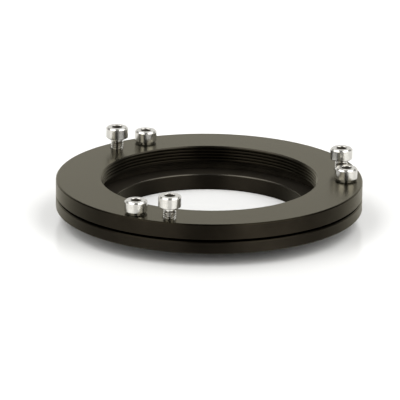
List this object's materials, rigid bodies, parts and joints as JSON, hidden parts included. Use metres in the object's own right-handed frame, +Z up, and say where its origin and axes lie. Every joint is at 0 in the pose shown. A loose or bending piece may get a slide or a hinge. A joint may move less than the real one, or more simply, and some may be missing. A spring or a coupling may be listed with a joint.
{
  "type": "push-pull tilt adapter",
  "caption": "Ring-shaped tilt adapter for an astronomy camera: flat rings across a narrow gap, tilted by push and pull cap screws, female thread above, male thread below.",
  "frame": {"origin": "centre of the boss's end face, on the optical axis, at the lowest plane", "axes": "+Z up the optical axis, from the telescope side to the camera side; +X points 6.35 degrees clockwise of screw station c; -Y is the side seen in front"},
  "size_m": [0.096, 0.096, 0.0204],
  "materials": {
    "black_anodised": "satin black anodised, fine turned",
    "screw_steel": "bright stainless",
    "pad_steel": "ground, hardened",
    "seal_rubber": "matt elastomer"
  },
  "bodies": {
    "base": {"base_ring": "black_anodised", "contact_pad_a": "pad_steel", "contact_pad_b": "pad_steel", "contact_pad_c": "pad_steel"},
    "seal": {"light_seal": "seal_rubber"},
    "tilt_ring": {"tilt_ring": "black_anodised"},
    "push_screw_a": {"push_screw_a": "screw_steel"},
    "pull_screw_a": {"pull_screw_a": "screw_steel"},
    "push_screw_b": {"push_screw_b": "screw_steel"},
    "pull_screw_b": {"pull_screw_b": "screw_steel"},
    "push_screw_c": {"push_screw_c": "screw_steel"},
    "pull_screw_c": {"pull_screw_c": "screw_steel"}
  },
  "joints": [
    {"name": "lift_a", "type": "hinge", "parent": "base", "child": "seal", "pos_m": [0.01484, -0.01542, 0.0064], "axis": [0.7206, 0.6934, 0], "range_deg": [-0.25, 0.5], "deforming": ["light_seal"]},
    {"name": "lift_b", "type": "hinge", "parent": "seal", "child": "tilt_ring", "pos_m": [0.00593, 0.02056, 0.0064], "axis": [-0.9608, 0.2773, 0], "range_deg": [-0.25, 0.5], "deforming": ["light_seal"]},
    {"name": "push_a_turn", "type": "slide", "parent": "tilt_ring", "child": "push_screw_a", "axis": [0, 0, -1], "range_m": [-0.000294, 0.000588]},
    {"name": "push_b_turn", "type": "slide", "parent": "tilt_ring", "child": "push_screw_b", "axis": [0, 0, -1], "range_m": [-0.000294, 0.000588]},
    {"name": "push_c_turn", "type": "slide", "parent": "tilt_ring", "child": "push_screw_c", "axis": [0, 0, 1], "range_m": [0, 0.003]},
    {"name": "pull_a_turn", "type": "slide", "parent": "tilt_ring", "child": "pull_screw_a", "axis": [0, 0, 1], "range_m": [0, 0.002]},
    {"name": "pull_b_turn", "type": "slide", "parent": "tilt_ring", "child": "pull_screw_b", "axis": [0, 0, 1], "range_m": [0, 0.002]},
    {"name": "pull_c_turn", "type": "slide", "parent": "tilt_ring", "child": "pull_screw_c", "axis": [0, 0, 1], "range_m": [0, 0.002]}
  ],
  "couplings": [
    {"joint": "push_a_turn", "follows": "lift_a", "m_per_rad": 0.0642},
    {"joint": "push_b_turn", "follows": "lift_b", "m_per_rad": 0.0642}
  ]
}
